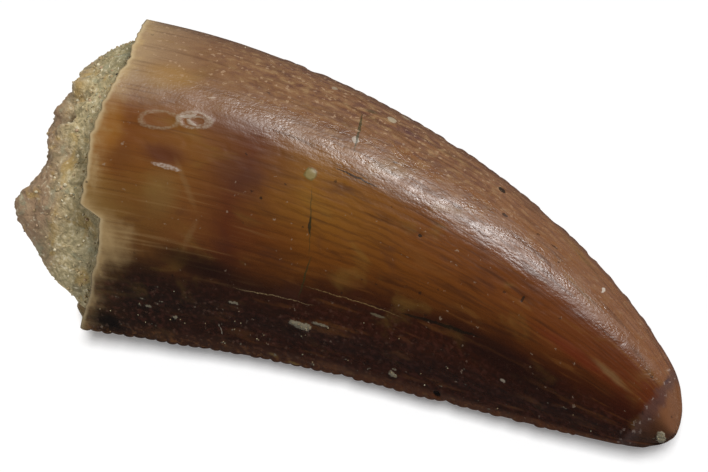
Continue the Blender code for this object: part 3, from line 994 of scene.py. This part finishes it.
def plugHeight(across, rise):
    height = plug["rise"] * (1 - (np.abs(across) / plug["spread"]) ** plug["power"])
    for centre, up, lump, radius in plugLumps:
        away = ((across - centre) ** 2 + 0.4 * (rise - up) ** 2) / radius**2
        height = height + lump * np.exp(-away)
    above = np.maximum(0, rise) / crown["upperBulge"]
    below = np.maximum(0, -rise) / crown["lowerBulge"]
    # rounded clods end in a ragged shelf, with a hollow between them and the rim
    ragged = noiseAt(np.stack([across, rise, 0 * across], -1), 0.9, 2, 21)
    shelf = smoothStep(above + plug["shelfWander"] * ragged, *plug["shelf"])
    left = 1 - plug["shelfDrop"] * shelf - plug["undersideDrop"] * below**2
    return height * left


def buildPlug():
    half = plug["columns"] // 2
    place, upper = ringPlaces(half, half)
    shift = rimShift(place, upper)
    insets = crown["wallAtEdges"] + plug["gap"], crown["wallAtFaces"] + plug["gap"]
    lip = crown["rimLip"]
    edge = shellRing(place, upper, shift, lip, *insets, 0.0)
    middle, base = shellMiddle(lip), shellMiddle(0.0)
    heading = crown["baseHeading"]
    alongWay = np.array([math.cos(heading), math.sin(heading), 0])
    acrossWay = np.array([-math.sin(heading), math.cos(heading), 0])
    rings = []
    for step in (0.9, 0.7, 0.35):
        depth = lip + (plug["depth"] - lip) * math.sin(step * math.pi / 2)
        rings.append(shellRing(place, upper, shift, depth, *insets, step))
    hidden = len(rings)
    rings.append(edge)
    for share in 1 - np.linspace(0, 1, plug["rings"] + 1)[1:-1] ** 1.25:
        point = middle + (edge - middle) * share
        start = (point - base) @ alongWay
        height = plugHeight((point - base) @ acrossWay, point[:, 2] - middle[2])
        swell = (1 - share ** plug["fullness"]) ** 0.5
        rough = [
            noise.fractal(Vector(p / plug["grain"]), 0.9, 2.1, 3) * plug["roughness"]
            for p in point
        ]
        point = point - np.outer((start + height + np.array(rough)) * swell, alongWay)
        # clods, then a sandy skin
        clods = 0.5 - np.abs(noiseAt(point, 0.60, 3, 13))
        sandy = noiseAt(point, 0.20, 3, 17)
        bumps = plug["bumps"] * (clods + 0.3 * sandy) * swell
        rings.append(point - np.outer(bumps, alongWay))
    points = np.array(rings)
    poles = [points[-1].mean(axis=0), shellMiddle(plug["depth"])]
    flat = np.concatenate([points.reshape(-1, 3), poles])
    # its rings run towards the base, so its faces are turned to look outwards
    faces = [face[::-1] for face in ringFaces(len(points), plug["columns"])]
    standing = -((flat - base) @ alongWay)  # how far out of the break
    exposed = np.arange(len(flat)) >= (hidden + 2) * plug["columns"]
    loose = 0.12 + 0.88 * (1 - smoothStep(standing, 0.9, 2.2))
    attributes = {"standing": standing, "grit": exposed * loose}
    return makeMesh("sandstonePlug", flat, faces, attributes)


# Sand grains: Geometry Nodes scatter small crystals where the attribute grit is high

plugGrains = {
    "Density": 12.0 / mm**2,
    "Smallest": 0.022 * mm,
    "Largest": 0.080 * mm,
    "Seed": 5,
    "Keep Surface": True,
}

crumbs = {
    "Density": 60.0 / mm**2,
    "Smallest": 0.014 * mm,
    "Largest": 0.030 * mm,
    "Seed": 9,
    "Keep Surface": False,
}


def grainTree():
    tree, given = newTree("sandGrains", plugGrains)
    surface, seed = given["Geometry"], given["Seed"]
    grit = addNode(tree, readValue, {"data_type": "FLOAT", "Name": "grit"})
    density = addNode(tree, maths, {**times, 0: grit, 1: given["Density"]})
    spots = {"Mesh": surface, "Density": density, "Seed": seed}
    spots = addNode(tree, "GeometryNodeDistributePointsOnFaces", spots)
    crystal = {"Radius": 1.0, "Subdivisions": 1}
    crystal = addNode(tree, "GeometryNodeMeshIcoSphere", crystal)
    size = {"data_type": "FLOAT_VECTOR", "Min": given["Smallest"]}
    size = addNode(tree, randomValue, {**size, "Max": given["Largest"], "Seed": seed})
    turn = {"data_type": "FLOAT_VECTOR", "Max": (6.28, 6.28, 6.28), "Seed": seed}
    turn = addNode(tree, randomValue, turn)
    grains = {"Points": spots, "Instance": crystal, "Rotation": turn, "Scale": size}
    grains = addNode(tree, "GeometryNodeInstanceOnPoints", grains)
    tone = {"data_type": "FLOAT", "Min": 0.1, "Max": 1.0, "Seed": seed}
    tone = addNode(tree, randomValue, tone)
    toned = {"data_type": "FLOAT", "domain": "INSTANCE", "Geometry": grains}
    toned |= {"Name": "tone", "Value": tone}
    toned = addNode(tree, "GeometryNodeStoreNamedAttribute", toned)
    kept = {"input_type": "GEOMETRY", "Switch": given["Keep Surface"], "True": surface}
    kept = addNode(tree, "GeometryNodeSwitch", kept)
    joined = addNode(tree, "GeometryNodeJoinGeometry", {"Geometry": toned})
    tree.links.new(kept.outputs[0], joined.inputs[0])
    return closeTree(tree, joined, given["Material"])


# features to the mm, detail, distortion and seed
sandPatterns = {
    "patches": (0.7, 3.0, 0.3, 1.0),
    "stains": (1.3, 3.0, 0.6, 4.0),
    "clods": (2.0, 4.0, 0.8, 5.0),
    "sandy": (7.0, 3.0, 0.0, 6.0),
    "fine": (14.0, 3.0, 0.0, 8.0),
    "lumps": (3.0, 3.0, 0.4, 9.0),
}
sandRelief = {"fine": 0.03, "lumps": 0.12}  # in mm
sandStops = ((0.35, "#978a64"), (0.5, "#b6a47a"), (0.65, "#ccbc94"))
sandTints = (
    # pink-brown on what stands out most: its own tone, toned darker in part as painted
    # shade
    ("level", 2.0, 3.3, 0.85, "#8e7056"),
    # painted shade: grey-green in the hollow by the rim, where little light reaches
    ("level", 2.2, 1.2, 0.45, "#8a8468"),
    # painted shade: darker towards the side of the lamp behind, to even out how the
    # light falls on the stone
    ("upward", 0.0005, 0.0040, 0.75, "#6e6844"),
    # painted shade: dark olive patches stand for shade in crevices between clods
    ("clods", 0.45, 0.33, 0.55, "#6a6044"),
    ("stains", 0.54, 0.68, 0.55, "#b08e48"),
    ("stains", 0.44, 0.32, 0.5, "#9c9c80"),
    ("sandy", 0.60, 0.72, 0.5, "#e0d6ba"),
    # the single grains, each with its own tone
    ("tone", 0.10, 0.11, 0.5, "#c0ae88"),
    ("tone", 0.45, 0.46, 0.7, "#a08860"),
    ("tone", 0.74, 0.75, 0.8, "#dcd2b4"),
    ("tone", 0.84, 0.85, 0.8, "#b08c6c"),
    ("tone", 0.92, 0.93, 0.8, "#989a80"),
    ("tone", 0.985, 0.987, 0.9, "#2a211c"),
)


def sandstoneMaterial():
    # Hardened river sand: dull quartz in clay, pink and tan where it stands out, with
    # ochre stains and dark mineral specks. Painted shade: grey-green in the hollows by
    # the rim, dark olive patches for crevices and a darker side towards the lamp
    # behind.
    material, tree = newMaterial("sandstone")
    where = addNode(tree, "ShaderNodeTexCoord", {}).outputs["Object"]
    known = {"upward": addNode(tree, "ShaderNodeSeparateXYZ", {0: where}).outputs["Y"]}
    for name in ("standing", "tone"):
        source = addNode(tree, "ShaderNodeAttribute", {"attribute_name": name})
        known[name] = source.outputs["Fac"]
    for name, (size, *settings) in sandPatterns.items():
        known[name] = patternOn(tree, where, (size * 1 / mm,) * 3, *settings)
    level = ("level", "MULTIPLY_ADD", "patches", 2.0, "standing")
    addSteps(tree, known, (level,))
    base = addNode(tree, "ShaderNodeValToRGB", {"stops": sandStops, 0: known["sandy"]})
    colour = paint(tree, known, base, sandTints)
    wanted = {"Base Color": colour, "Roughness": 0.8}
    finishSurface(tree, known, sandRelief, wanted)
    return material


plugPiece = buildPlug()
sandstone = sandstoneMaterial()
grains = grainTree()
applyTree(plugPiece, grains, {**plugGrains, "Material": sandstone})
crumbPiece = newObject("clingingSand", crownPiece.data.copy())
applyTree(crumbPiece, grains, {**crumbs, "Material": sandstone})
print("sandstone", len(plugPiece.data.polygons), "faces, with", end=" ")
print(len(crumbPiece.data.polygons), "on the crown")


# Where each piece belongs

for piece, slot in (
    (crownPiece, "fossil_enamel"),
    (plugPiece, "sandstone"),
    (crumbPiece, "sandstone"),
):
    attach(piece, "root")
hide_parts("tooth_crown")
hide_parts("sandstone_plug")


# Floor, light and camera

studio = {
    "floorSize": 0.6,
    "floorColour": "#f2f2f2",
    "floorGlow": 0.20,
    "worldColour": "#e6e8ec",
    "worldStrength": 0.10,
    "lightDistance": 0.40,
    # each light: its direction, width and height, and radiance
    # a broad window of light behind the tooth, for the tooth alone
    "key": ((0.22, 0.51, 0.83), (0.15, 0.12), 27.5),
    # a soft panel at the left that lights the broken base
    "side": ((-0.62, -0.50, 0.60), (0.12, 0.12), 12.0),
    # and one straight above, for the floor alone, so that only a thin shadow shows
    "top": ((0, 0, 1), (0.125, 0.125), 28.0),
}


def areaLight(name, lit, shading):
    # lit: what this light falls on; shading: what casts a shadow in it
    direction, (width, height), radiance = studio[name]
    data = bpy.data.lights.new(name, "AREA")
    data.shape = "RECTANGLE"
    data.size, data.size_y = width, height
    data.energy = radiance * math.pi * width * height
    light = newObject(name, data)
    light.location = Vector(direction).normalized() * studio["lightDistance"]
    light.rotation_euler = Vector(direction).to_track_quat("Z", "Y").to_euler()
    for label, members in (("receiver", lit), ("blocker", shading)):
        linked = bpy.data.collections.new(name + label)
        for member in members:
            linked.objects.link(member)
        setattr(light.light_linking, label + "_collection", linked)


def buildStudio(specimen):
    half = studio["floorSize"] / 2
    data = bpy.data.meshes.new("floor")
    corners = [(-half, -half, 0), (half, -half, 0), (half, half, 0), (-half, half, 0)]
    data.from_pydata(corners, [], [(0, 1, 2, 3)])
    floor = newObject("floor", data)
    floor.visible_glossy = False
    # matt white card under the specimen
    paper, tree = newMaterial("whitePaper")
    wanted = {"Base Color": studio["floorColour"], "Roughness": 0.9}
    wanted |= {"Specular IOR Level": 0.0, "Emission Color": (1, 1, 1, 1)}
    wanted["Emission Strength"] = studio["floorGlow"]
    addNode(tree, "Principled BSDF", wanted)
    data.materials.append(paper)

    world = bpy.data.worlds.new("softRoom")
    world.use_nodes = True
    sky = {0: studio["worldColour"], 1: studio["worldStrength"]}
    addNode(world.node_tree, "Background", sky)
    bpy.context.scene.world = world
    areaLight("key", specimen, specimen)
    areaLight("side", specimen[1:2], specimen)
    areaLight("top", [floor], specimen[:1])
    bpy.context.scene.view_settings.view_transform = "Standard"


photoCamera = {
    "azimuth": 22.94,
    "elevation": 75.0,
    "lens": 100.0,
    "sensorWidth": 36.0,
    "frameWidth": 24.55,  # mm of the object across the picture
    "target": (0.89, 0.245, 1.6),
}


def buildCamera():
    data = bpy.data.cameras.new("camera")
    data.lens = photoCamera["lens"]
    data.sensor_width = photoCamera["sensorWidth"]
    data.clip_start, data.clip_end = 0.001, 10.0
    camera = newObject("camera", data)
    a = math.radians(photoCamera["azimuth"])
    e = math.radians(photoCamera["elevation"])
    back = Vector((math.sin(a) * math.cos(e), -math.cos(a) * math.cos(e), math.sin(e)))
    distance = photoCamera["frameWidth"] * photoCamera["lens"]
    distance = distance / photoCamera["sensorWidth"]
    camera.location = (Vector(photoCamera["target"]) + back * distance) * mm
    camera.rotation_euler = back.to_track_quat("Z", "Y").to_euler()
    bpy.context.scene.camera = camera


buildStudio([crownPiece, plugPiece, crumbPiece])
buildCamera()
print("studio ready")
